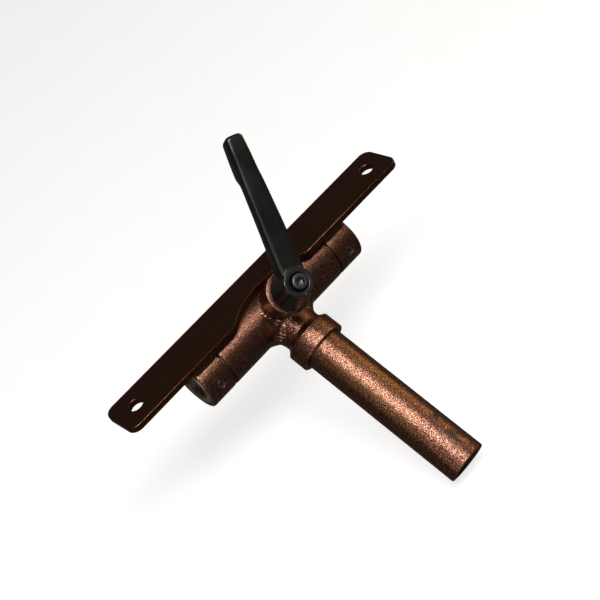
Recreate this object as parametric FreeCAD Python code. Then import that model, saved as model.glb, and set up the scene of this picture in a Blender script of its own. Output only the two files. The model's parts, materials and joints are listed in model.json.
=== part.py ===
import FreeCAD, Part
import math
import os

# Lockable tilt bracket: a flat screw-on bar carries a tube hinge, and a clamp lever on the
# swivelling sleeve presses on the hinge tube to hold the spigot at its angle.
# Millimetres. X runs along the hinge, Z out of the bar's mounting face, and the spigot leans
# to -Y. The origin is on the mounting face, midway between the two screw holes.

V = FreeCAD.Vector
ORIGIN = V(0, 0, 0)
ALONG_X = V(1, 0, 0)
ALONG_Z = V(0, 0, 1)

# Bar
bar_length = 219.2
bar_width = 28.0
bar_thickness = 4.0
bar_corner = 6.0
bar_edge_round = 0.5
screw_spacing = 192.0
screw_hole_r = 4.25
notch_chord = 60.6
notch_depth = 11.0

# Hinge tubes
hinge_drop = 20.2
hinge_shift = -1.4
outer_r = 15.875
pin_r = 12.7
pin_wall = 3.6
pin_overhang = 0.3
running_gap = 0.05
sleeve_length = 89.0
knuckle_length = 17.0
side_gap = 1.0
tube_edge = 0.7

# Locking screws that pin the hinge tube in the knuckles
lock_screw_r = 2.5
lock_screw_length = 5.0
lock_screw_sink = 0.4
lock_socket_af = 2.5
lock_socket_depth = 2.0

# Spigot tube, measured from the hinge axis
spigot_angle = 124.4
spigot_r = 12.7
spigot_seat_r = 12.3
spigot_wall = 2.8
spigot_reach = 139.8
collar_r = 15.9
collar_start = 27.3
collar_length = 11.5
collar_relief = 0.3
spigot_weld = 6.5
collar_weld_leg = 2.6

# Clamp boss, measured from the hinge axis
boss_to_spigot = 72.0
boss_r = 10.2
boss_top = 35.8
plate_r = 12.7
plate_thickness = 3.7
boss_weld_leg = 3.0
boss_weld_reach = 4.5
boss_weld_stop_r = 16.2
thread_r = 5.0
stud_hole_r = 5.4

# Clamp lever, heights measured from the hinge axis along the boss
hub_base = 40.9
hub_top = 61.0
hub_base_r = 11.0
hub_top_r = 8.2
lever_bearing = 70.0
cavity_top = 48.2
web_top = 49.8
counterbore_r = 5.1
web_hole_r = 3.4
tooth_count = 24
tooth_depth = 0.9
insert_tip_r = 7.8
mesh_gap = 0.3
insert_height = 3.8
insert_neck_r = 6.3
stud_top = 48.0
stud_bottom = 15.3
pad_r = 4.2
pad_bottom = 13.0
pad_thickness = 2.2
pad_stem_r = 1.5
pad_stem_length = 2.5
top_screw_r = 2.95
top_screw_end = 40.0
top_screw_head_r = 4.5
top_screw_head_bottom = 57.4
top_screw_head_top = 63.2
top_screw_socket_af = 4.0
top_screw_socket_depth = 2.8
spring_wire_r = 0.5
spring_mean_r = 4.25
spring_turns = 4.2
spring_end_gap = 0.1

# Arm of the lever: distance from the hub axis, underside, top, width
arm_stations = [
    (0.0, 45.2, 58.3, 14.6),
    (13.5, 50.4, 61.0, 14.3),
    (32.7, 55.8, 64.5, 13.5),
    (49.5, 59.1, 67.3, 12.6),
    (58.7, 60.3, 68.6, 12.1),
    (62.5, 57.7, 69.2, 11.8),
    (73.1, 59.6, 71.0, 11.2),
    (82.7, 62.0, 72.0, 10.2),
]
arm_corner = 2.6
arm_end_round = 2.4

pin_length = sleeve_length + 2 * (side_gap + knuckle_length + pin_overhang)
knuckle_inner_end = sleeve_length / 2 + side_gap
knuckle_middle = knuckle_inner_end + knuckle_length / 2
boss_angle = spigot_angle - boss_to_spigot


def turned(points):
    """Solid of revolution about Z from (radius, height) points."""
    outline = [V(r, 0, z) for r, z in points]
    face = Part.Face(Part.makePolygon(outline + outline[:1]))
    return face.revolve(ORIGIN, ALONG_Z, 360)


def edged_tube(r_out, r_in, length):
    """Tube standing on Z = 0 with its outer end edges broken."""
    return turned([
        (r_in, 0),
        (r_out - tube_edge, 0),
        (r_out, tube_edge),
        (r_out, length - tube_edge),
        (r_out - tube_edge, length),
        (r_in, length),
    ])


def cylinder(r, z_low, z_high):
    return Part.makeCylinder(r, z_high - z_low, V(0, 0, z_low))


def hexagon(across_flats, z_low, z_high):
    corner_r = across_flats / math.sqrt(3)
    corners = []
    for step in range(6):
        turn = math.radians(60 * step)
        corners.append(V(corner_r * math.cos(turn), corner_r * math.sin(turn), z_low))
    face = Part.Face(Part.makePolygon(corners + corners[:1]))
    return face.extrude(V(0, 0, z_high - z_low))


def along_hinge(shape, start):
    """Lay a piece built on Z along the hinge axis, its base at start from the hinge's middle."""
    shape.rotate(ORIGIN, V(0, 1, 0), 90)
    shape.translate(V(start + hinge_shift, 0, -hinge_drop))
    return shape


def on_swivel(shape, angle):
    """Lean a piece built on Z, with the hinge axis at its origin, by an angle from +Z to -Y."""
    shape.rotate(ORIGIN, ALONG_X, angle)
    shape.translate(V(0, 0, -hinge_drop))
    return shape


def hinge_cylinder(r, length):
    """Cylinder about local X through the origin, for coping pieces to the sleeve."""
    return Part.makeCylinder(r, length, V(-length / 2, 0, 0), ALONG_X)


def mounting_bar():
    half_l = bar_length / 2
    half_w = bar_width / 2
    bar = Part.makeBox(bar_length, bar_width, bar_thickness, V(-half_l, -half_w, -bar_thickness))
    uprights = [e for e in bar.Edges if abs(e.tangentAt(e.FirstParameter).z) > 0.9]
    bar = bar.makeFillet(bar_corner, uprights)
    notch_r = (notch_chord ** 2 / 4 + notch_depth ** 2) / (2 * notch_depth)
    notch_y = -(half_w - notch_depth + notch_r)
    bar = bar.cut(Part.makeCylinder(notch_r, bar_thickness, V(0, notch_y, -bar_thickness)))
    rims = [e for e in bar.Edges if abs(e.BoundBox.ZLength) < 0.01]
    bar = bar.makeChamfer(bar_edge_round, rims)
    for side in (-1, 1):
        hole_x = side * screw_spacing / 2
        hole = Part.makeCylinder(screw_hole_r, bar_thickness, V(hole_x, 0, -bar_thickness))
        bar = bar.cut(hole)
    return bar


def knuckle_x(side):
    return hinge_shift + side * knuckle_middle


def lock_screw_hole(side, r):
    """Cylinder along -Y from the hinge axis at one knuckle's middle."""
    centre = V(knuckle_x(side), 0, -hinge_drop)
    return Part.makeCylinder(r, 2 * outer_r, centre, V(0, -1, 0))


def knuckle(side):
    body = edged_tube(outer_r, pin_r + running_gap, knuckle_length)
    start = knuckle_inner_end if side > 0 else -knuckle_inner_end - knuckle_length
    return along_hinge(body, start).cut(lock_screw_hole(side, lock_screw_r + running_gap))


def hinge_pin():
    body = edged_tube(pin_r, pin_r - pin_wall, pin_length)
    body = along_hinge(body, -pin_length / 2)
    for side in (-1, 1):
        body = body.cut(lock_screw_hole(side, lock_screw_r + running_gap))
    return body


def lock_screw(side):
    top = outer_r - lock_screw_sink
    bottom = top - lock_screw_length
    tip = 0.8
    body = turned([
        (0, bottom),
        (lock_screw_r - tip, bottom),
        (lock_screw_r, bottom + tip),
        (lock_screw_r, top),
        (0, top),
    ])
    body = body.cut(hexagon(lock_socket_af, top - lock_socket_depth, top))
    body.rotate(ORIGIN, ALONG_X, 90)
    body.translate(V(knuckle_x(side), 0, -hinge_drop))
    return body


def bar_weld(side, face):
    """Bead in the wedge between the bar's underside and a knuckle."""
    toe_y = 10.3
    toe_z = -hinge_drop + math.sqrt(outer_r ** 2 - toe_y ** 2)
    bar_toe = V(0, 11.8, -bar_thickness)
    crown = V(0, 11.75, (toe_z - bar_thickness) / 2)
    knuckle_toe = V(0, toe_y, toe_z)
    root = [knuckle_toe, V(0, 8, -9.5), V(0, 2, -6.5), V(0, 2, -bar_thickness), bar_toe]
    outline = [Part.Arc(bar_toe, crown, knuckle_toe).toShape()]
    outline += Part.makePolygon(root).Edges
    end_space = 0.9
    length = knuckle_length - 2 * end_space
    bead = Part.Face(Part.Wire(outline)).extrude(V(length, 0, 0))
    if face < 0:
        bead = bead.mirror(ORIGIN, V(0, 1, 0))
    bead.translate(V(knuckle_x(side) - length / 2, 0, 0))
    filler = Part.makeCylinder(outer_r, bar_length, V(-bar_length / 2, 0, -hinge_drop), ALONG_X)
    return bead.cut(filler)


def swivel_sleeve():
    body = edged_tube(outer_r, pin_r + running_gap, sleeve_length)
    body = along_hinge(body, -sleeve_length / 2)
    stud_hole = on_swivel(cylinder(stud_hole_r, 0, 2 * outer_r), boss_angle)
    return body.cut(stud_hole)


def spigot_tube():
    inner_r = spigot_r - spigot_wall
    seat_end = collar_start + collar_length + collar_relief
    body = turned([
        (inner_r, 0),
        (spigot_seat_r, 0),
        (spigot_seat_r, seat_end),
        (spigot_r, seat_end),
        (spigot_r, spigot_reach - tube_edge),
        (spigot_r - tube_edge, spigot_reach),
        (inner_r + tube_edge, spigot_reach),
        (inner_r, spigot_reach - tube_edge),
    ])
    return on_swivel(body.cut(hinge_cylinder(outer_r, 4 * outer_r)), spigot_angle)


def round_on_spigot(r):
    """Solid round on the spigot's axis, for coping the boss and its welds."""
    return on_swivel(cylinder(r, 0, collar_start), spigot_angle)


def saddle_fillet(r, height, leg):
    """Weld where a round piece of radius r stands on the sleeve."""
    sleeve = hinge_cylinder(outer_r, sleeve_length)
    post = cylinder(r, 0, height)
    joined = sleeve.fuse(post)
    seam = [e for e in joined.Edges if is_saddle(e, r)]
    return joined.makeFillet(leg, seam).cut(sleeve).cut(post)


def is_saddle(edge, r):
    """True for an edge that lies on both the sleeve and the upright post."""
    low, high = edge.ParameterRange
    for share in (0.2, 0.5, 0.8):
        p = edge.valueAt(low + share * (high - low))
        if abs(math.hypot(p.x, p.y) - r) > 0.01:
            return False
        if abs(math.hypot(p.y, p.z) - outer_r) > 0.01:
            return False
    return True


def spigot_root_weld():
    weld = saddle_fillet(spigot_seat_r, collar_start, spigot_weld)
    boss_round = on_swivel(cylinder(boss_r, 0, boss_top), boss_angle)
    return on_swivel(weld, spigot_angle).cut(boss_round)


def stop_collar():
    body = edged_tube(collar_r, spigot_seat_r + running_gap, collar_length)
    body.translate(V(0, 0, collar_start))
    return on_swivel(body, spigot_angle)


def collar_weld():
    leg = collar_weld_leg
    body = turned([
        (spigot_seat_r, collar_start - leg),
        (spigot_seat_r + leg, collar_start),
        (spigot_seat_r, collar_start),
    ])
    return on_swivel(body, spigot_angle)


def clamp_boss():
    body = cylinder(boss_r, 0, boss_top)
    body = body.cut(hinge_cylinder(outer_r, 4 * outer_r)).cut(cylinder(thread_r, 0, boss_top))
    return on_swivel(body, boss_angle).cut(round_on_spigot(spigot_seat_r))


def boss_plate():
    edge = 0.5
    top = boss_top + plate_thickness
    body = turned([
        (thread_r + mesh_gap, boss_top),
        (plate_r - edge, boss_top),
        (plate_r, boss_top + edge),
        (plate_r, top - edge),
        (plate_r - edge, top),
        (thread_r + mesh_gap, top),
    ])
    return on_swivel(body, boss_angle)


def boss_weld(side):
    """Bead on one side of the boss, from the spigot's weld to where the boss passes the bar."""
    weld = saddle_fillet(boss_r, boss_top, boss_weld_leg)
    size = 4 * outer_r
    passing_side = Part.makeBox(size, size, size, V(-size / 2, boss_weld_reach, 0))
    other_side = Part.makeBox(size, 2 * size, size, V(min(0, -side * size), -size, 0))
    weld = on_swivel(weld.cut(passing_side).cut(other_side), boss_angle)
    return weld.cut(round_on_spigot(boss_weld_stop_r))


def pressure_pad():
    top = pad_bottom + pad_thickness
    body = turned([
        (0, pad_bottom),
        (pad_r - 0.4, pad_bottom),
        (pad_r, pad_bottom + 0.4),
        (pad_r, top),
        (pad_stem_r, top),
        (pad_stem_r, top + pad_stem_length),
        (0, top + pad_stem_length),
    ])
    return on_swivel(body, boss_angle)


def clamp_stud():
    r = thread_r - running_gap
    body = turned([
        (0, stud_bottom),
        (r - 0.8, stud_bottom),
        (r, stud_bottom + 0.8),
        (r, stud_top),
        (0, stud_top),
    ])
    stem_hole_top = pad_bottom + pad_thickness + pad_stem_length + 0.4
    body = body.cut(cylinder(pad_stem_r + running_gap, stud_bottom, stem_hole_top))
    body = body.cut(cylinder(top_screw_r + running_gap, top_screw_end - 0.6, stud_top))
    return on_swivel(body, boss_angle)


def toothed_prism(tip_r, root_r, z_low, z_high):
    """Prism with pointed teeth, for the insert and for its seat in the handle."""
    points = []
    for step in range(2 * tooth_count):
        r = tip_r if step % 2 == 0 else root_r
        turn = math.pi * step / tooth_count
        points.append(V(r * math.cos(turn), r * math.sin(turn), z_low))
    face = Part.Face(Part.makePolygon(points + points[:1]))
    return face.extrude(V(0, 0, z_high - z_low))


def lever_insert():
    teeth_top = hub_base + insert_height
    body = toothed_prism(insert_tip_r, insert_tip_r - tooth_depth, hub_base, teeth_top)
    body = body.fuse(cylinder(insert_neck_r, hub_base, stud_top))
    body = body.cut(cylinder(thread_r, hub_base, stud_top))
    return on_swivel(body, boss_angle)


def top_screw():
    edge = 0.4
    body = turned([
        (0, top_screw_end),
        (top_screw_r - edge, top_screw_end),
        (top_screw_r, top_screw_end + edge),
        (top_screw_r, top_screw_head_bottom),
        (top_screw_head_r, top_screw_head_bottom),
        (top_screw_head_r, top_screw_head_top - edge),
        (top_screw_head_r - edge, top_screw_head_top),
        (0, top_screw_head_top),
    ])
    socket_bottom = top_screw_head_top - top_screw_socket_depth
    body = body.cut(hexagon(top_screw_socket_af, socket_bottom, top_screw_head_top))
    return on_swivel(body, boss_angle)


def lever_spring():
    low = web_top + spring_end_gap + spring_wire_r
    high = top_screw_head_bottom - spring_end_gap - spring_wire_r
    pitch = (high - low) / spring_turns
    path = Part.Wire(Part.makeHelix(pitch, high - low, spring_mean_r))
    start = V(spring_mean_r, 0, 0)
    section = Part.Wire(Part.makeCircle(spring_wire_r, start, V(0, 1, 0)))
    coil = path.makePipeShell([section], True, True)
    coil.translate(V(0, 0, low))
    return on_swivel(coil, boss_angle)


def arm_section(station):
    """Rounded rectangle across the arm at one station."""
    distance, low, high, width = station
    box = Part.makeBox(1, width, high - low, V(distance, -width / 2, low))
    box = box.makeFillet(arm_corner, [e for e in box.Edges if e.BoundBox.XLength > 0.9])
    ends = [f for f in box.Faces if abs(f.CenterOfMass.x - distance) < 0.01]
    return ends[0].OuterWire


def rounded_tip(arm):
    """Round the two upright corners at the arm's free end."""
    end_x, low, high, width = arm_stations[-1]
    tall = 2 * (high - low)
    middle_x = end_x - arm_end_round
    for side in (-1, 1):
        middle_y = side * (width / 2 - arm_end_round)
        corner_y = min(middle_y, side * width)
        corner = Part.makeBox(width, width - abs(middle_y), tall, V(middle_x, corner_y, low - 1))
        corner = corner.cut(Part.makeCylinder(arm_end_round, tall, V(middle_x, middle_y, low - 1)))
        arm = arm.cut(corner)
    return arm


def lever_handle():
    hub = turned([
        (0, hub_base),
        (hub_base_r - 0.6, hub_base),
        (hub_base_r, hub_base + 0.6),
        (hub_base_r, hub_base + 2.4),
        (hub_top_r, hub_top - 3.2),
        (hub_top_r, hub_top - 0.6),
        (hub_top_r - 0.6, hub_top),
        (0, hub_top),
    ])
    arm = rounded_tip(Part.makeLoft([arm_section(s) for s in arm_stations], True, True))
    arm.rotate(ORIGIN, ALONG_Z, lever_bearing)
    body = hub.fuse(arm)
    seat_tip_r = insert_tip_r + mesh_gap
    seat_top = hub_base + insert_height + 0.2
    seat = toothed_prism(seat_tip_r, seat_tip_r - tooth_depth, hub_base, seat_top)
    body = body.cut(seat).cut(cylinder(seat_tip_r, seat_top, cavity_top))
    body = body.cut(cylinder(web_hole_r, cavity_top, web_top))
    body = body.cut(cylinder(counterbore_r, web_top, hub_top))
    return on_swivel(body, boss_angle)


def all_pieces():
    pieces = {
        "mounting_bar": mounting_bar(),
        "hinge_pin": hinge_pin(),
        "swivel_sleeve": swivel_sleeve(),
        "spigot_tube": spigot_tube(),
        "spigot_weld": spigot_root_weld(),
        "stop_collar": stop_collar(),
        "collar_weld": collar_weld(),
        "clamp_boss": clamp_boss(),
        "boss_plate": boss_plate(),
        "pressure_pad": pressure_pad(),
        "clamp_stud": clamp_stud(),
        "lever_insert": lever_insert(),
        "lever_spring": lever_spring(),
        "top_screw": top_screw(),
        "lever_handle": lever_handle(),
    }
    for side, name in ((-1, "left"), (1, "right")):
        pieces["knuckle_" + name] = knuckle(side)
        pieces["lock_screw_" + name] = lock_screw(side)
        pieces["bar_weld_front_" + name] = bar_weld(side, -1)
        pieces["bar_weld_back_" + name] = bar_weld(side, 1)
        pieces["boss_weld_" + name] = boss_weld(side)
    return pieces


os.makedirs("parts", exist_ok=True)
for node, shape in all_pieces().items():
    shape.exportStep("parts/" + node + ".step")
    print(node, shape.isValid(), len(shape.Solids), round(shape.Volume, 1))
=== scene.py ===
import bmesh
import bpy
import json
import math
from mathutils import Matrix, Vector, noise


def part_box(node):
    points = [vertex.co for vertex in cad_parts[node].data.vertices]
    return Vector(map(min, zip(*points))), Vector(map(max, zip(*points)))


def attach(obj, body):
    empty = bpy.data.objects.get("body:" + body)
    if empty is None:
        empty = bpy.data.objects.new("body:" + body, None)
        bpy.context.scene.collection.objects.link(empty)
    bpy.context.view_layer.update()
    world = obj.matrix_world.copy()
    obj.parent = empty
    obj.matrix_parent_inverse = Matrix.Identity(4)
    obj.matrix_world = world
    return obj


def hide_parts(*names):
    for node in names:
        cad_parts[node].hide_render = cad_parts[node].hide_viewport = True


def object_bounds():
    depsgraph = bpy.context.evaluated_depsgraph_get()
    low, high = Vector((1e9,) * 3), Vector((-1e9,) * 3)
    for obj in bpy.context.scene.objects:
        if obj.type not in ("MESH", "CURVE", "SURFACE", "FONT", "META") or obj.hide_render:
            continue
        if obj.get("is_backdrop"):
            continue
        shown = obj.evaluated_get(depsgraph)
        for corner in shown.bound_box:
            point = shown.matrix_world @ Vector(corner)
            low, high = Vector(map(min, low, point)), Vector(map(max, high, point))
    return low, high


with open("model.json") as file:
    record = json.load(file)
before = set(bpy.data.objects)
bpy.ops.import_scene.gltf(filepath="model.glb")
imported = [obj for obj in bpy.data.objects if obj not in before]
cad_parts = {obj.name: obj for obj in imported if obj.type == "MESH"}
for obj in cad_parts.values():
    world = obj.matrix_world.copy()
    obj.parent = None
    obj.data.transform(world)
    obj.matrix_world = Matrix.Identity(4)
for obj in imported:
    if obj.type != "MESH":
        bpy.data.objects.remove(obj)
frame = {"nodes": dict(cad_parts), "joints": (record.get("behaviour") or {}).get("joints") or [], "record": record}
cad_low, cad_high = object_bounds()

# Lockable tilt bracket. Metres in the CAD frame: X along the hinge, Z out of the bar's mounting face.
MM = 0.001
TURN = 2 * math.pi

joints = {j["name"]: j for j in frame["joints"]}
mounts = {m["name"]: m for m in frame["record"]["mounts"]}
hinge_at = Vector(joints["tilt"]["pos_m"])
boss_axis = Vector(joints["clamp_turn"]["axis"])
spigot_axis = Vector(mounts["spigot"]["axis"])

# Sizes in millimetres, as in the CAD model
outer_r = 15.875
pin_r = 12.7
pin_wall = 3.6
running_gap = 0.05
spigot_r = 12.7
spigot_wall = 2.8
spigot_reach = 139.8
collar_r = 15.9
collar_start = 27.3
collar_end = 38.8
boss_r = 10.2
boss_top = 35.8
plate_r = 12.7
plate_top = 39.5
stud_r = 5.0
screw_hole_r = 4.25
inner_r = spigot_r - spigot_wall


def axis_angle(direction):
    return math.atan2(-direction.y, direction.z)


def standing(direction):
    """Matrix that stands a piece built on Z on the hinge axis, along a direction square to X."""
    return Matrix.Translation(hinge_at) @ Matrix.Rotation(axis_angle(direction), 4, "X")


def lying(x_start):
    """Matrix that lays a piece built on Z along the hinge axis from X = x_start metres."""
    at = Matrix.Translation((x_start, hinge_at.y, hinge_at.z))
    return at @ Matrix.Rotation(math.radians(90), 4, "Y")


ON_SPIGOT = standing(spigot_axis)
ON_BOSS = standing(boss_axis)


# ---------------------------------------------------------------- materials

class Nodes:
    """A material's node tree with short calls for the nodes used here."""

    def __init__(self, name):
        self.material = bpy.data.materials.new(name)
        self.material.use_nodes = True
        self.tree = self.material.node_tree
        self.shader = self.tree.nodes["Principled BSDF"]
        coordinates = self.tree.nodes.new("ShaderNodeTexCoord")
        self.place = coordinates.outputs["Object"]

    def link(self, source, socket):
        self.tree.links.new(source, socket)

    def put(self, socket, value):
        if isinstance(value, bpy.types.NodeSocket):
            self.link(value, socket)
        else:
            socket.default_value = value

    def noise(self, scale, detail=2.0, rough=0.5, place=None):
        node = self.tree.nodes.new("ShaderNodeTexNoise")
        node.inputs["Scale"].default_value = scale
        node.inputs["Detail"].default_value = detail
        node.inputs["Roughness"].default_value = rough
        self.link(place or self.place, node.inputs["Vector"])
        return node.outputs["Fac"]

    def cells(self, scale):
        node = self.tree.nodes.new("ShaderNodeTexVoronoi")
        node.inputs["Scale"].default_value = scale
        self.link(self.place, node.inputs["Vector"])
        return node.outputs["Distance"]

    def ramp(self, value, stops):
        node = self.tree.nodes.new("ShaderNodeValToRGB")
        elements = node.color_ramp.elements
        while len(elements) < len(stops):
            elements.new(0.5)
        for element, (position, colour) in zip(elements, stops):
            element.position = position
            element.color = (*colour, 1.0)
        self.link(value, node.inputs["Fac"])
        return node.outputs["Color"]

    def remap(self, value, low, high, to_low, to_high):
        node = self.tree.nodes.new("ShaderNodeMapRange")
        limits = {"From Min": low, "From Max": high, "To Min": to_low, "To Max": to_high}
        for name, number in limits.items():
            node.inputs[name].default_value = number
        self.link(value, node.inputs["Value"])
        return node.outputs["Result"]

    def mix(self, share, first, second):
        node = self.tree.nodes.new("ShaderNodeMix")
        node.data_type = "RGBA"
        self.put(node.inputs["Factor"], share)
        self.put(node.inputs["A"], (*first, 1.0) if isinstance(first, tuple) else first)
        self.put(node.inputs["B"], (*second, 1.0) if isinstance(second, tuple) else second)
        return node.outputs["Result"]

    def math(self, operation, first, second=0.0):
        node = self.tree.nodes.new("ShaderNodeMath")
        node.operation = operation
        node.use_clamp = operation != "ADD"
        self.put(node.inputs[0], first)
        self.put(node.inputs[1], second)
        return node.outputs[0]

    def stretched(self, matrix, scale):
        """Coordinates in a piece's own upright frame, stretched by scale."""
        node = self.tree.nodes.new("ShaderNodeMapping")
        node.vector_type = "TEXTURE"
        node.inputs["Location"].default_value = matrix.translation
        node.inputs["Rotation"].default_value = matrix.to_euler()
        self.link(self.place, node.inputs["Vector"])
        second = self.tree.nodes.new("ShaderNodeVectorMath")
        second.operation = "MULTIPLY"
        second.inputs[1].default_value = scale
        self.link(node.outputs["Vector"], second.inputs[0])
        return second.outputs["Vector"]

    def near(self, point, reach):
        """1 at a point of the frame, falling to 0 at a distance."""
        node = self.tree.nodes.new("ShaderNodeVectorMath")
        node.operation = "DISTANCE"
        node.inputs[1].default_value = point
        self.link(self.place, node.inputs[0])
        return self.remap(node.outputs["Value"], 0.3 * reach, reach, 1.0, 0.0)

    def inside(self, matrix, radius):
        """1 within a radius in millimetres of a piece's own upright axis."""
        node = self.tree.nodes.new("ShaderNodeVectorMath")
        node.operation = "LENGTH"
        self.link(self.stretched(matrix, (1, 1, 0)), node.inputs[0])
        return self.remap(node.outputs["Value"], (radius - 0.1) * MM, (radius + 0.1) * MM, 1.0, 0.0)

    def bump(self, height, distance, strength=1.0):
        node = self.tree.nodes.new("ShaderNodeBump")
        node.inputs["Strength"].default_value = strength
        node.inputs["Distance"].default_value = distance
        self.link(height, node.inputs["Height"])
        self.link(node.outputs["Normal"], self.shader.inputs["Normal"])

    def finish(self, colour, metallic, roughness, coat=0.0, coat_roughness=0.3):
        self.put(self.shader.inputs["Base Color"], colour)
        self.shader.inputs["Metallic"].default_value = metallic
        self.put(self.shader.inputs["Roughness"], roughness)
        self.shader.inputs["Coat Weight"].default_value = coat
        self.shader.inputs["Coat Roughness"].default_value = coat_roughness
        return self.material


SCUFF = (0.040, 0.043, 0.036)
SHEEN_GOLD = (0.30, 0.165, 0.035)


def vein_coat(n, dark, middle, bright):
    """Colour, roughness and height of the copper vein coat: dark grain over metallic copper."""
    grain = n.noise(1800, 2.0, 0.6)
    mottle = n.noise(640, 2.0, 0.55)
    colour = n.ramp(grain, [(0.36, dark), (0.48, middle), (0.66, bright)])
    colour = n.mix(n.remap(mottle, 0.50, 0.66, 0.0, 0.45), colour, dark)
    height = n.math("ADD", grain, n.math("MULTIPLY", mottle, 0.5))
    return colour, n.remap(grain, 0.36, 0.66, 0.42, 0.24), height


def copper_vein(name, dark, middle, bright, coat=0.08, coat_roughness=0.3, depth=0.17):
    n = Nodes(name)
    colour, roughness, height = vein_coat(n, dark, middle, bright)
    cloud = n.noise(40, 2.0, 0.5)
    colour = n.mix(n.remap(cloud, 0.50, 0.72, 0.0, 0.3), colour, middle)
    n.bump(height, depth * MM, 0.9)
    return n.finish(colour, 0.97, roughness, coat, coat_roughness)


def spigot_copper(name, dark, middle, bright):
    """The coat with a painted warm sheen in gold streaks along one side of the spigot, grey scuffs at its end, and
    a dull bore darkened with rust brown and painted shade.
    """
    n = Nodes(name)
    colour, roughness, height = vein_coat(n, dark, middle, bright)
    # Painted warm sheen: gold streaks laid on the spigot's +X side, facing the warm side lamp, standing in for its
    # reflected light
    streak = n.noise(1.0, 3.0, 0.6, n.stretched(ON_SPIGOT, (420, 420, 10)))
    side = ON_SPIGOT @ Vector((0.019, 0.004, 0.074))
    warm_sheen = n.math("MULTIPLY", n.near(side, 0.062), n.remap(streak, 0.48, 0.60, 0.0, 0.60))
    colour = n.mix(n.math("MULTIPLY", warm_sheen, n.remap(height, 0.50, 0.85, 0.1, 1.0)), colour, SHEEN_GOLD)
    patch = n.near(ON_SPIGOT @ Vector((0.0095, 0.0085, 0.126)), 0.017)
    patch = n.math("MAXIMUM", patch, n.near(ON_SPIGOT @ Vector((0.0085, 0.0095, 0.109)), 0.012))
    worn = n.math("MULTIPLY", patch, n.remap(n.noise(260, 4.0, 0.65), 0.48, 0.58, 0.0, 0.85))
    colour = n.mix(worn, colour, SCUFF)
    # Inside the bore the colour goes near-black: rust-brown mottling together with painted shade
    bore = n.inside(ON_SPIGOT, inner_r + 0.25)
    bore_rust_and_shade = n.ramp(n.noise(240, 4.0, 0.6), [(0.35, (0.10, 0.055, 0.035)), (0.65, (0.03, 0.014, 0.010))])
    colour = n.mix(bore, colour, bore_rust_and_shade)
    roughness = n.mix(n.math("MAXIMUM", worn, bore), roughness, (0.62, 0.62, 0.62))
    n.bump(height, 0.17 * MM, 0.9)
    return n.finish(colour, 0.97, roughness, 0.08, 0.3)


def bare_tube():
    """Drawn steel tube: fine lines round it, a brownish film, and a bore darkened with painted shade over
    grey-brown mottling.
    """
    n = Nodes("bare_steel")
    place = lying(0)
    lines = n.noise(1.0, 3.0, 0.6, n.stretched(place, (90, 90, 2600)))
    film = n.noise(210, 4.0, 0.6)
    bare = (0.62, 0.55, 0.45)
    browned = (0.46, 0.37, 0.28)
    rusted = (0.18, 0.11, 0.07)
    colour = n.ramp(film, [(0.35, bare), (0.55, browned), (0.72, rusted)])
    colour = n.mix(n.remap(lines, 0.4, 0.7, 0.0, 0.4), colour, (0.20, 0.18, 0.16))
    # Painted shade: the bore's colour is darkened to a mottled grey-brown
    scale = n.ramp(film, [(0.38, (0.30, 0.28, 0.27)), (0.66, (0.09, 0.07, 0.06))])
    colour = n.mix(n.inside(place, pin_r - pin_wall + 0.35), colour, scale)
    n.bump(lines, 0.03 * MM, 0.5)
    return n.finish(colour, 0.9, n.remap(film, 0.3, 0.7, 0.36, 0.62))


def plated(name, light, dark, metallic=0.95, rough=0.34):
    """Small turned metal part with fine mottling."""
    n = Nodes(name)
    cloud = n.noise(700, 3.0, 0.6)
    speck = n.noise(2600, 2.0, 0.5)
    colour = n.ramp(cloud, [(0.38, light), (0.66, dark)])
    n.bump(speck, 0.02 * MM, 0.5)
    return n.finish(colour, metallic, n.remap(cloud, 0.35, 0.7, rough, rough + 0.18))


def lever_paint():
    """Satin black coat on the die casting: fine orange peel, faint dust and a few pale nicks."""
    n = Nodes("lever_black")
    peel = n.noise(1500, 2.0, 0.5)
    dust = n.noise(60, 4.0, 0.65)
    speck = n.remap(n.cells(140), 0.055, 0.085, 1.0, 0.0)
    nick = n.math("MULTIPLY", speck, n.remap(dust, 0.50, 0.56, 0.0, 1.0))
    colour = n.ramp(dust, [(0.35, (0.0034, 0.0034, 0.0036)), (0.70, (0.0080, 0.0072, 0.0064))])
    colour = n.mix(nick, colour, (0.20, 0.19, 0.18))
    n.bump(peel, 0.03 * MM, 0.5)
    return n.finish(colour, 0.0, n.remap(dust, 0.35, 0.7, 0.25, 0.34))


DARK = (0.036, 0.0125, 0.0055)
MIDDLE = (0.150, 0.056, 0.030)
BRIGHT = (0.56, 0.280, 0.200)
COPPER = copper_vein("copper_vein", DARK, MIDDLE, BRIGHT)
WELD_COPPER = copper_vein("copper_vein_weld", DARK, MIDDLE, (0.42, 0.18, 0.11), 0.9, 0.10, 0.06)
# Painted shade: the bar gets a darker copy of the same copper vein coat as the tubes
BAR_DARK = (0.018, 0.0054, 0.0014)
BAR_MIDDLE = (0.080, 0.0255, 0.0075)
BAR_BRIGHT = (0.34, 0.135, 0.060)
SHADED_BAR_COPPER = copper_vein("copper_vein_dark", BAR_DARK, BAR_MIDDLE, BAR_BRIGHT, 0.35, 0.12, 0.14)
SPIGOT = spigot_copper("copper_vein_spigot", DARK, MIDDLE, BRIGHT)
STEEL = bare_tube()
ZINC = plated("zinc_steel", (0.62, 0.62, 0.63), (0.40, 0.40, 0.42))
SPRING = plated("spring_steel", (0.50, 0.50, 0.51), (0.28, 0.28, 0.29))
BRASS = plated("pad_brass", (0.72, 0.54, 0.24), (0.46, 0.32, 0.13))
OXIDE = plated("black_oxide", (0.085, 0.085, 0.085), (0.035, 0.035, 0.035), 0.8, 0.26)
SET_SCREW = plated("black_oxide_worn", (0.30, 0.27, 0.25), (0.05, 0.045, 0.04), 0.9, 0.22)
LEVER = lever_paint()


# ---------------------------------------------------------------- mesh helpers

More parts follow.
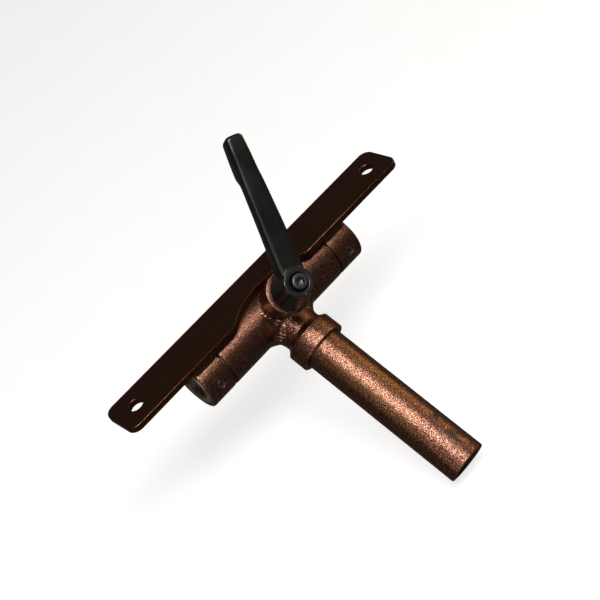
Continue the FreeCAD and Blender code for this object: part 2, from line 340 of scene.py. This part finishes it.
def piece_from(name, bm, place, material, sharp=38):
    """Turn a bmesh in millimetres into a smooth-shaded piece at its place in the frame."""
    bmesh.ops.recalc_face_normals(bm, faces=bm.faces)
    mesh = bpy.data.meshes.new(name)
    bm.to_mesh(mesh)
    bm.free()
    mesh.transform(place @ Matrix.Scale(MM, 4))
    piece = bpy.data.objects.new(name, mesh)
    bpy.context.scene.collection.objects.link(piece)
    mesh.materials.append(material)
    shade(mesh, sharp)
    return piece


def shade(mesh, sharp):
    mesh.polygons.foreach_set("use_smooth", [True] * len(mesh.polygons))
    mesh.set_sharp_from_angle(angle=math.radians(sharp))
    mesh.update()


def skin(bm, rows, wrap, closed):
    """Faces between rows of vertices. A row of one vertex is a pole."""
    pairs = list(zip(rows, rows[1:]))
    if closed:
        pairs.append((rows[-1], rows[0]))
    for first, second in pairs:
        count = max(len(first), len(second))
        for i in range(count if wrap else count - 1):
            k = (i + 1) % count
            if len(first) == 1:
                bm.faces.new((first[0], second[i], second[k]))
            elif len(second) == 1:
                bm.faces.new((first[i], first[k], second[0]))
            else:
                bm.faces.new((first[i], first[k], second[k], second[i]))


def turned_mesh(rings, segments, closed):
    """Rings of (radius, height), each a number or a function of the angle."""
    bm = bmesh.new()
    rows = []
    for r, z in rings:
        if r == 0:
            rows.append([bm.verts.new((0, 0, z))])
            continue
        row = []
        for i in range(segments):
            a = TURN * i / segments
            radius = r(a) if callable(r) else r
            height = z(a) if callable(z) else z
            row.append(bm.verts.new((radius * math.cos(a), radius * math.sin(a), height)))
        rows.append(row)
    skin(bm, rows, True, closed)
    return bm


def turned(name, rings, place, material, segments=160, closed=True):
    return piece_from(name, turned_mesh(rings, segments, closed), place, material)


def eased(points, radius, closed=True, steps=4):
    """Round the corners of a profile of (radius, height) points."""
    out = []
    count = len(points)
    for i, p in enumerate(points):
        if not closed and i in (0, count - 1):
            out.append(p)
            continue
        here = Vector(p)
        before = Vector(points[i - 1]) - here
        after = Vector(points[(i + 1) % count]) - here
        reach = min(radius, 0.45 * before.length, 0.45 * after.length)
        start = here + before.normalized() * reach
        end = here + after.normalized() * reach
        for k in range(steps + 1):
            t = k / steps
            q = start * (1 - t) ** 2 + here * 2 * t * (1 - t) + end * t ** 2
            out.append((q.x, q.y))
    return out


def tube(name, r_out, r_in, length, place, material, ease=0.8):
    """Plain tube with broken edges, with extra rings along it."""
    cuts = max(2, int(length / 4))
    rings = eased([(r_in, length / 2), (r_in, 0), (r_out, 0), (r_out, length / 2)], ease, False)
    low = rings[1:-1]
    high = [(r, length - z) for r, z in reversed(low)]
    outside = [(r_out, low[-1][1] + (length - 2 * low[-1][1]) * k / cuts) for k in range(1, cuts)]
    return turned(name, low + outside + high, place, material)


def hexagon_r(across_flats):
    def radius(a):
        return across_flats / 2 / math.cos(a % math.radians(60) - math.radians(30))
    return radius


def cut_by(piece, cutter_mesh, place):
    """Take a cutter's volume out of a piece."""
    mesh = bpy.data.meshes.new("cutter")
    bmesh.ops.recalc_face_normals(cutter_mesh, faces=cutter_mesh.faces)
    cutter_mesh.to_mesh(mesh)
    cutter_mesh.free()
    mesh.transform(place @ Matrix.Scale(MM, 4))
    cutter = bpy.data.objects.new("cutter", mesh)
    bpy.context.scene.collection.objects.link(cutter)
    modifier = piece.modifiers.new("cut", "BOOLEAN")
    modifier.object = cutter
    modifier.operation = "DIFFERENCE"
    modifier.solver = "EXACT"
    settle(piece)
    bpy.data.objects.remove(cutter)
    shade(piece.data, 38)


def settle(piece):
    """Apply a piece's modifiers to its mesh."""
    bpy.context.view_layer.update()
    depsgraph = bpy.context.evaluated_depsgraph_get()
    mesh = bpy.data.meshes.new_from_object(piece.evaluated_get(depsgraph))
    piece.modifiers.clear()
    piece.data = mesh


def declare(piece, body, slot, *nodes):
    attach(piece, body)
    if nodes:
        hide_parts(*nodes)


# ---------------------------------------------------------------- hinge tubes

def span(node):
    low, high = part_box(node)
    return low.x, high.x


for side, name in ((-1, "left"), (1, "right")):
    start, end = span("knuckle_" + name)
    length = (end - start) / MM
    knuckle = tube("knuckle_tube_" + name, outer_r, pin_r + running_gap, length, lying(start), COPPER)
    middle = Matrix.Translation(((start + end) / 2, hinge_at.y, hinge_at.z))
    outward = middle @ Matrix.Rotation(math.radians(90), 4, "X")
    hole = turned_mesh([(0, 8), (2.55, 8), (2.55, 15.2), (3.0, 15.85), (3.0, 20), (0, 20)], 48, False)
    cut_by(knuckle, hole, outward)
    declare(knuckle, "bar", "copper_vein", "knuckle_" + name)

    top = outer_r - 0.4
    rings = eased([(0, top - 5), (1.5, top - 5), (2.5, top - 4), (2.5, top), (1.7, top)], 0.25, False)
    socket = hexagon_r(2.45)
    rings += [(hexagon_r(2.6), top), (socket, top - 0.15), (socket, top - 2), (0, top - 2.5)]
    screw = turned("socket_screw_" + name, rings, outward, SET_SCREW, 72, False)
    declare(screw, "bar", "black_oxide", "lock_screw_" + name)

start, end = span("swivel_sleeve")
sleeve = tube("sleeve_tube", outer_r, pin_r + running_gap, (end - start) / MM, lying(start), COPPER)
cut_by(sleeve, turned_mesh([(0, 6), (5.4, 6), (5.4, 24), (0, 24)], 64, False), ON_BOSS)
declare(sleeve, "swivel", "copper_vein", "swivel_sleeve")

start, end = span("hinge_pin")
pin = tube("hinge_tube", pin_r, pin_r - pin_wall, (end - start) / MM, lying(start), STEEL, 0.7)
declare(pin, "bar", "bare_steel", "hinge_pin")


# ---------------------------------------------------------------- bar

def bar_outline(curve, low, high):
    """Outline with round corners and the shallow notch in the -Y edge."""
    corner = 6.0 * MM
    chord = 30.3 * MM
    depth = 11 * MM
    radius = (chord ** 2 + depth ** 2) / (2 * depth)
    half = math.asin(chord / radius)
    centre_y = low.y + depth - radius
    points = []
    for k in range(33):
        a = -half + 2 * half * k / 32
        points.append((radius * math.sin(a), centre_y + radius * math.cos(a)))
    corners = ((high.x, low.y, -90), (high.x, high.y, 0), (low.x, high.y, 90), (low.x, low.y, 180))
    for x, y, first in corners:
        cx = x - math.copysign(corner, x)
        cy = y - math.copysign(corner, y)
        for k in range(9):
            a = math.radians(first + 90 * k / 8)
            points.append((cx + corner * math.cos(a), cy + corner * math.sin(a)))
    add_loop(curve, points)


def add_loop(curve, points):
    spline = curve.splines.new("POLY")
    spline.points.add(len(points) - 1)
    for point, (x, y) in zip(spline.points, points):
        point.co = (x, y, 0, 1)
    spline.use_cyclic_u = True


low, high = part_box("mounting_bar")
edge = 0.6 * MM
curve = bpy.data.curves.new("bar_outline", "CURVE")
curve.dimensions = "2D"
curve.fill_mode = "BOTH"
bar_outline(curve, low, high)
hole_x = mounts["bar_screws"]["dims"]["spacing_x_mm"] / 2 * MM
hole_r = screw_hole_r * MM
hole_angles = [-TURN * k / 64 for k in range(64)]
for x in (-hole_x, hole_x):
    add_loop(curve, [(x + hole_r * math.cos(a), hole_r * math.sin(a)) for a in hole_angles])
curve.extrude = (high.z - low.z) / 2 - edge
curve.bevel_depth = edge
curve.bevel_resolution = 3
curve.offset = -edge
drawn = bpy.data.objects.new("bar_outline", curve)
bpy.context.scene.collection.objects.link(drawn)
bpy.context.view_layer.update()
mesh = bpy.data.meshes.new_from_object(drawn.evaluated_get(bpy.context.evaluated_depsgraph_get()))
bpy.data.objects.remove(drawn)
mesh.transform(Matrix.Translation((0, 0, (low.z + high.z) / 2)))
mesh.materials.clear()
mesh.materials.append(SHADED_BAR_COPPER)
bar = bpy.data.objects.new("bar_plate", mesh)
bpy.context.scene.collection.objects.link(bar)
shade(mesh, 25)
declare(bar, "bar", "copper_vein_dark", "mounting_bar")


# ---------------------------------------------------------------- welds

def ripple(along, across, pitch, depth):
    """Height of the crescent ripples of a weld run, across from 0 to 1."""
    phase = along / pitch + 0.55 * (2 * across - 1) ** 2
    return depth * (abs(math.sin(math.pi * phase)) - 0.5) * math.sin(math.pi * across) ** 0.5


def bead_point(first, bend, last, t):
    return first * (1 - t) ** 2 + bend * 2 * t * (1 - t) + last * t ** 2


def bead(name, sections, place, closed, material=WELD_COPPER):
    bm = bmesh.new()
    rows = [[bm.verts.new(p) for p in section] for section in sections]
    skin(bm, rows, True, closed)
    if not closed:
        bm.faces.new(rows[0])
        bm.faces.new(list(reversed(rows[-1])))
    return piece_from(name, bm, place, material, 60)


def lumpy(p, size, depth, seed):
    return depth * noise.noise(Vector((p.x / size + seed, p.y / size, p.z / size)))


def sleeve_height(x, y):
    return math.sqrt(max(outer_r ** 2 - y ** 2, 0.0))


def round_weld(name, post_r, height, angles, leg_up, leg_out, seed, place, closed):
    """Weld round a post that stands on a surface given by its height at (x, y)."""
    steps = 12
    sections = []
    along = 0.0
    last = None
    for a in angles:
        out = Vector((math.cos(a), math.sin(a), 0))
        up = leg_up(a)
        reach = leg_out(a)
        root = out * post_r
        root.z = height(root.x, root.y)
        toe = out * (post_r + reach)
        toe.z = height(toe.x, toe.y)
        head = root + Vector((0, 0, up))
        if last is not None:
            along += (root - last).length
        last = root
        bend = root.lerp((head + toe) / 2, 0.22)
        facing = (out + Vector((0, 0, 1))).normalized()
        section = []
        for k in range(steps + 1):
            t = k / steps
            p = bead_point(head, bend, toe, t)
            full = math.sin(math.pi * t)
            lift = ripple(along, t, 2.3, 0.55) + full * lumpy(p, 4.2, 0.8, seed)
            section.append(p + facing * lift * min(1.0, up / 2))
        section.append(toe - out * 0.3 * reach - Vector((0, 0, 0.7)))
        section.append(out * (post_r - 0.6) + Vector((0, 0, root.z - 0.5)))
        section.append(out * (post_r - 0.6) + Vector((0, 0, head.z - 0.2)))
        sections.append(section)
    return bead(name, sections, place, closed)


def spigot_leg_out(a):
    """Wide along the sleeve, narrow where the sleeve's surface falls away."""
    return 6.6 - 4.4 * abs(math.sin(a)) ** 1.5


def spigot_leg_up(a):
    return 6.4 - 2.4 * abs(math.sin(a)) ** 2


ring_angles = [TURN * k / 300 for k in range(300)]
weld = round_weld("spigot_root_bead", spigot_r, sleeve_height, ring_angles,
                  spigot_leg_up, spigot_leg_out, 3.1, ON_SPIGOT, True)
declare(weld, "swivel", "copper_vein", "spigot_weld")

between = axis_angle(spigot_axis) - axis_angle(boss_axis)


def boss_ground(x, y):
    """Height of the sleeve or the spigot below the boss, whichever is higher, in the boss's frame."""
    ground = sleeve_height(x, y)
    if abs(x) < spigot_r:
        slope = (math.sqrt(spigot_r ** 2 - x ** 2) - math.cos(between) * y) / math.sin(between)
        if math.cos(between) * slope > math.sin(between) * y:
            ground = max(ground, slope)
    return ground


def boss_leg(a):
    """Tapers to nothing where the boss passes the bar's notch, on the local +Y side."""
    from_end = math.degrees(min(abs(a - boss_run[0]), abs(a - boss_run[1])))
    return 0.5 + 2.3 * min(1.0, from_end / 16)


boss_run = (math.radians(158), math.radians(382))
boss_angles = [boss_run[0] + (boss_run[1] - boss_run[0]) * k / 180 for k in range(181)]
weld = round_weld("boss_root_bead", boss_r, boss_ground, boss_angles,
                  boss_leg, boss_leg, 8.4, ON_BOSS, False)
declare(weld, "swivel", "copper_vein", "boss_weld_left", "boss_weld_right")


def collar_bead_r(share):
    def radius(a):
        lump = noise.noise(Vector((4 * math.cos(a), 4 * math.sin(a), share)))
        wave = ripple(a * collar_r, share, 1.8, 0.25) + 0.25 * lump
        return spigot_r + share ** 1.4 * 2.6 + wave * share
    return radius


rings = [(spigot_r - 0.4, collar_start - 3.0)]
rings += [(collar_bead_r(k / 9), collar_start - 3.0 + 3.1 * k / 9) for k in range(10)]
rings += [(spigot_r - 0.4, collar_start + 0.1)]
weld = turned("collar_bead", rings, ON_SPIGOT, WELD_COPPER, 240)
declare(weld, "swivel", "copper_vein", "collar_weld")


def bar_bead(name, side, face):
    """Weld run between the bar's underside and a knuckle."""
    start, end = span("bar_weld_front_" + name)
    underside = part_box("mounting_bar")[0].z / MM
    axis_z = hinge_at.z / MM
    length = (end - start) / MM
    steps = 10
    sections = []
    count = 60
    for i in range(count + 1):
        share = i / count
        x = -length / 2 + length * share
        full = min(1.0, 6 * share, 6 * (1 - share)) ** 0.5
        y_toe = 10.6 + 0.4 * full
        top = Vector((x, 9.6 + 2.5 * full, underside))
        toe = Vector((x, y_toe, axis_z + math.sqrt(outer_r ** 2 - y_toe ** 2)))
        bend = Vector((x, 10.6 + 1.6 * full, (top.z + toe.z) / 2))
        section = []
        for k in range(steps + 1):
            t = k / steps
            p = bead_point(top, bend, toe, t)
            lump = lumpy(p, 3.0, 0.6, 5.0 * side + 11 * face)
            lift = ripple(x, t, 2.1, 0.45) + math.sin(math.pi * t) * lump
            section.append(p + Vector((0, lift * full, -0.3 * lift * full)))
        section.append(Vector((x, 9.0, toe.z - 1.2)))
        section.append(Vector((x, 5.0, underside - 1.0)))
        section.append(Vector((x, 5.0, underside + 0.3)))
        section.append(Vector((x, 9.0, underside + 0.3)))
        sections.append([Vector((p.x, face * p.y, p.z)) for p in section])
    place = Matrix.Translation(((start + end) / 2, 0, 0))
    return bead("bar_bead_" + ("front_" if face < 0 else "back_") + name, sections, place, False)


for side, name in ((-1, "left"), (1, "right")):
    for face, word in ((-1, "front"), (1, "back")):
        weld = bar_bead(name, side, face)
        declare(weld, "bar", "copper_vein", "bar_weld_" + word + "_" + name)


# ---------------------------------------------------------------- spigot, collar and boss

def saddle(r, depth=0.5):
    """Height where a post's wall of radius r meets just under the sleeve's surface."""
    def height(a):
        return math.sqrt((outer_r - depth) ** 2 - (r * math.sin(a)) ** 2)
    return height


end_profile = [(spigot_r, 100), (spigot_r, spigot_reach), (inner_r, spigot_reach), (inner_r, 100)]
far_end = eased(end_profile, 0.9, False)
rings = [(spigot_r, saddle(spigot_r)), (spigot_r, 24)] + [(spigot_r, z) for z in range(42, 136, 8)]
rings += far_end[1:-1] + [(inner_r, z) for z in range(130, 23, -16)] + [(inner_r, saddle(inner_r))]
spigot = turned("spigot_body", rings, ON_SPIGOT, SPIGOT)
declare(spigot, "swivel", "copper_vein", "spigot_tube")

bore_r = spigot_r + 0.02
profile = [(bore_r, collar_start), (collar_r, collar_start), (collar_r, collar_end), (bore_r, collar_end)]
collar = turned("stop_ring", eased(profile, 0.9), ON_SPIGOT, COPPER)
declare(collar, "swivel", "copper_vein", "stop_collar")

bore_r = stud_r + 0.02
neck_top = boss_top + 0.1
profile = [(boss_r, saddle(boss_r)), (boss_r, neck_top), (bore_r, neck_top), (bore_r, saddle(stud_r))]
neck = turned("boss_neck", profile, ON_BOSS, COPPER)
declare(neck, "swivel", "copper_vein", "clamp_boss")

profile = [(stud_r + 0.3, boss_top), (plate_r, boss_top), (plate_r, plate_top), (stud_r + 0.3, plate_top)]
plate = turned("boss_washer", eased(profile, 0.7), ON_BOSS, COPPER)
declare(plate, "swivel", "copper_vein", "boss_plate")


# ---------------------------------------------------------------- lever

arm_stations = [
    (0.0, 45.2, 58.3, 14.7),
    (13.5, 50.4, 61.0, 14.4),
    (32.7, 55.8, 64.5, 13.6),
    (49.5, 59.1, 67.3, 12.7),
    (58.0, 60.3, 68.5, 12.2),
    (62.5, 57.7, 69.2, 11.9),
    (73.1, 59.6, 71.0, 11.3),
    (82.7, 62.0, 72.0, 10.3),
]
lever_bearing = math.radians(70.0)
arm_root_r = 7.9
tip_round = 2.4

# Hub of the lever and its bores: a seat for the toothed insert, a web, a counterbore for the screw
hub_base = 40.9
hub_base_r = 11.1
hub_top = 61.1
hub_top_r = 8.3
seat_r = 8.1
seat_top = 48.2
web_top = 49.8
web_hole_r = 3.4
counterbore_r = 5.1


def station_at(distance):
    """Smooth values between the arm's stations."""
    last = len(arm_stations) - 2
    i = min(max(k for k in range(last + 1) if arm_stations[k][0] <= distance), last)
    a = arm_stations[max(i - 1, 0)]
    b = arm_stations[i]
    c = arm_stations[i + 1]
    d = arm_stations[min(i + 2, last + 1)]
    t = (distance - b[0]) / (c[0] - b[0])
    values = []
    for k in (1, 2, 3):
        slope_b = (c[k] - a[k]) / (c[0] - a[0]) * (c[0] - b[0])
        slope_c = (d[k] - b[k]) / (d[0] - b[0]) * (c[0] - b[0])
        h = t * t * (3 - 2 * t)
        value = b[k] * (1 - h) + c[k] * h
        value += slope_b * t * (1 - t) ** 2 - slope_c * t * t * (1 - t)
        values.append(value)
    return values


def arm_ring(distance, shrink):
    """Closed rounded section of the arm: crowned top, drafted sides."""
    low, high, width = station_at(distance)
    middle = (low + high) / 2
    half_h = (high - low) / 2
    half_w = width / 2
    points = []
    count = 48
    for k in range(count):
        a = TURN * k / count
        c = math.cos(a)
        s = math.sin(a)
        power = 2 / 3.4 if s > 0 else 2 / 6
        y = half_w * math.copysign(abs(c) ** (2 / 6), c)
        z = half_h * math.copysign(abs(s) ** power, s)
        draft = 1 - 0.02 * (1 - z / half_h)
        points.append((y * draft * (1 - shrink), middle + z * (1 - 0.6 * shrink)))
    return points


def lever_mesh():
    """Hub and arm as closed overlapping shells."""
    profile = [
        (seat_r, hub_base), (hub_base_r, hub_base), (hub_base_r, hub_base + 2.3),
        (hub_top_r, hub_top - 3.3), (hub_top_r, hub_top), (counterbore_r + 0.2, hub_top),
        (counterbore_r, hub_top - 0.4), (counterbore_r, web_top), (web_hole_r, web_top),
        (web_hole_r, seat_top), (seat_r, seat_top),
    ]
    bm = turned_mesh(profile, 128, True)
    rows = []
    end = arm_stations[-1][0]
    stops = [arm_root_r] + [10 + 1.5 * k for k in range(47)]
    stops += [end - tip_round + tip_round * math.sin(math.radians(15 * k)) for k in range(7)]
    for distance in stops:
        over = max(0.0, (distance - (end - tip_round)) / tip_round)
        shrink = 0.42 * (1 - math.sqrt(max(0.0, 1 - over ** 2)))
        row = []
        for y, z in arm_ring(distance, shrink):
            x = math.sqrt(max(arm_root_r ** 2 - y ** 2, 0)) if distance == arm_root_r else distance
            turned_x = x * math.cos(lever_bearing) - y * math.sin(lever_bearing)
            turned_y = x * math.sin(lever_bearing) + y * math.cos(lever_bearing)
            row.append(bm.verts.new((turned_x, turned_y, z)))
        rows.append(row)
    skin(bm, rows, True, False)
    bm.faces.new(rows[0])
    bm.faces.new(list(reversed(rows[-1])))
    return bm


handle = piece_from("lever_casting", lever_mesh(), ON_BOSS, LEVER)
remesh = handle.modifiers.new("one_skin", "REMESH")
remesh.mode = "VOXEL"
remesh.voxel_size = 0.32 * MM
soften = handle.modifiers.new("soften", "SMOOTH")
soften.factor = 0.5
soften.iterations = 6
settle(handle)
inside = [
    (0, 35), (seat_r, 35), (seat_r, seat_top), (web_hole_r, seat_top),
    (web_hole_r, web_top), (counterbore_r, web_top), (counterbore_r, 66), (0, 66),
]
cut_by(handle, turned_mesh(inside, 96, False), ON_BOSS)
handle.data.materials.clear()
handle.data.materials.append(LEVER)
handle.data.polygons.foreach_set("material_index", [0] * len(handle.data.polygons))
handle.data.polygons.foreach_set("use_smooth", [True] * len(handle.data.polygons))
declare(handle, "handle", "lever_black", "lever_handle")


def knurled(a):
    return 4.5 - 0.07 * (1 + math.cos(36 * a))


head = 63.2
shank_r = 2.95
head_base = 57.4
rings = eased([(0, 40.0), (shank_r, 40.0), (shank_r, head_base), (4.3, head_base)], 0.3, False)
rings += [(knurled, 57.7), (knurled, head - 0.7), (4.35, head - 0.45), (4.2, head - 0.15)]
rings += [(3.95, head), (3.1, head), (hexagon_r(4.25), head)]
rings += [(hexagon_r(4.0), head - 0.2), (hexagon_r(4.0), head - 2.8), (0, head - 3.4)]
screw = turned("cap_screw", rings, ON_BOSS, OXIDE, 216, False)
declare(screw, "stud", "black_oxide", "top_screw")

hidden = {"clamp_stud": ZINC, "lever_insert": ZINC, "lever_spring": SPRING, "pressure_pad": BRASS}
for node, material in hidden.items():
    shown = frame["nodes"][node]
    shown.data.materials.clear()
    shown.data.materials.append(material)


# ---------------------------------------------------------------- floor, light and camera

floor_z = cad_low.z - 0.5 * MM
bm = bmesh.new()
half_floor = 12
signs = ((-1, -1), (1, -1), (1, 1), (-1, 1))
corners = [bm.verts.new((half_floor * x, half_floor * y, floor_z)) for x, y in signs]
bm.faces.new(corners)
mesh = bpy.data.meshes.new("floor")
bm.to_mesh(mesh)
bm.free()
floor = bpy.data.objects.new("floor", mesh)
bpy.context.scene.collection.objects.link(floor)
n = Nodes("pale_floor")
paper = n.noise(40, 2.0, 0.5)
n.shader.inputs["Emission Color"].default_value = (1.0, 1.0, 1.0, 1.0)
n.shader.inputs["Emission Strength"].default_value = 0.74
shades = n.ramp(paper, [(0.3, (0.44, 0.44, 0.44)), (0.7, (0.46, 0.46, 0.46))])
mesh.materials.append(n.finish(shades, 0.0, 0.9))
floor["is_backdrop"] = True
# The floor neither lights the object from below nor shows in its reflections
floor.visible_glossy = False
floor.visible_diffuse = False


def softbox(name, direction, distance, width, height, watts, colour=(1, 1, 1)):
    light = bpy.data.lights.new(name, "AREA")
    light.shape = "RECTANGLE"
    light.size = width
    light.size_y = height
    light.energy = watts
    light.color = colour
    lamp = bpy.data.objects.new(name, light)
    bpy.context.scene.collection.objects.link(lamp)
    towards = Vector(direction).normalized()
    lamp.location = towards * distance
    lamp.rotation_mode = "QUATERNION"
    lamp.rotation_quaternion = towards.to_track_quat("Z", "Y")


softbox("key", (-0.10, -0.50, 0.82), 1.1, 0.8, 0.30, 10.0)
softbox("fill", (-0.85, -0.50, 0.25), 1.2, 0.35, 0.5, 1.8, (1.0, 0.86, 0.70))
softbox("warm_side", (0.85, -0.25, 0.35), 1.1, 0.35, 0.6, 2.0, (1.0, 0.78, 0.45))
softbox("lever_top", (-0.40, -0.82, 0.41), 1.2, 0.22, 0.6, 0.9, (0.92, 0.96, 1.0))

world = bpy.data.worlds.new("studio")
bpy.context.scene.world = world
world.use_nodes = True
world.node_tree.nodes["Background"].inputs["Color"].default_value = (1.0, 0.93, 0.84, 1.0)
world.node_tree.nodes["Background"].inputs["Strength"].default_value = 0.07

azimuth = math.radians(24.707)
elevation = math.radians(37.273)
roll = math.radians(30.750)
shortened = 0.962
target = Vector((9.23, -19.02, -17.64)) * shortened * MM
distance = 731.55 * shortened * MM
across = math.cos(elevation)
forward = Vector((math.sin(azimuth) * across, math.cos(azimuth) * across, -math.sin(elevation)))
level = forward.cross(Vector((0, 0, 1))).normalized()
upright = level.cross(forward)
up = upright * math.cos(roll) + level * math.sin(roll)
right = forward.cross(up)
camera_data = bpy.data.cameras.new("camera")
camera_data.lens = 76.276
camera_data.sensor_width = 36.0
camera = bpy.data.objects.new("camera", camera_data)
bpy.context.scene.collection.objects.link(camera)
turn = Matrix((right, up, -forward)).transposed().to_4x4()
camera.matrix_world = Matrix.Translation(target - forward * distance) @ turn
bpy.context.scene.camera = camera
bpy.context.scene.view_settings.view_transform = "Standard"

low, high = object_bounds()
